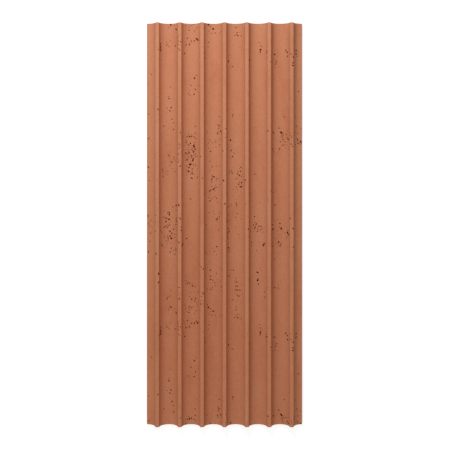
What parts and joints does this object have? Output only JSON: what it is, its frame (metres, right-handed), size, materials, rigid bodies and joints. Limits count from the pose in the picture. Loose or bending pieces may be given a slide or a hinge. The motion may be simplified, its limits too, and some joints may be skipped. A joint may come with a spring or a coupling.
{
  "type": "fluted concrete wall panel",
  "caption": "Flat-backed cast concrete wall panel whose face has half-round flutes between narrow ribs and is pitted with air pores; it is glued to a wall edge to edge.",
  "frame": {"origin": "centre of the flat back, on the surface that the panel lies on", "axes": "+X across the ribs, +Y along the ribs towards the end that is up on the wall, +Z out of the fluted face"},
  "size_m": [0.465, 1.2, 0.036],
  "materials": {
    "dyed_concrete": "matte"
  },
  "bodies": {
    "root": {"fluted_panel": "dyed_concrete"}
  },
  "joints": []
}
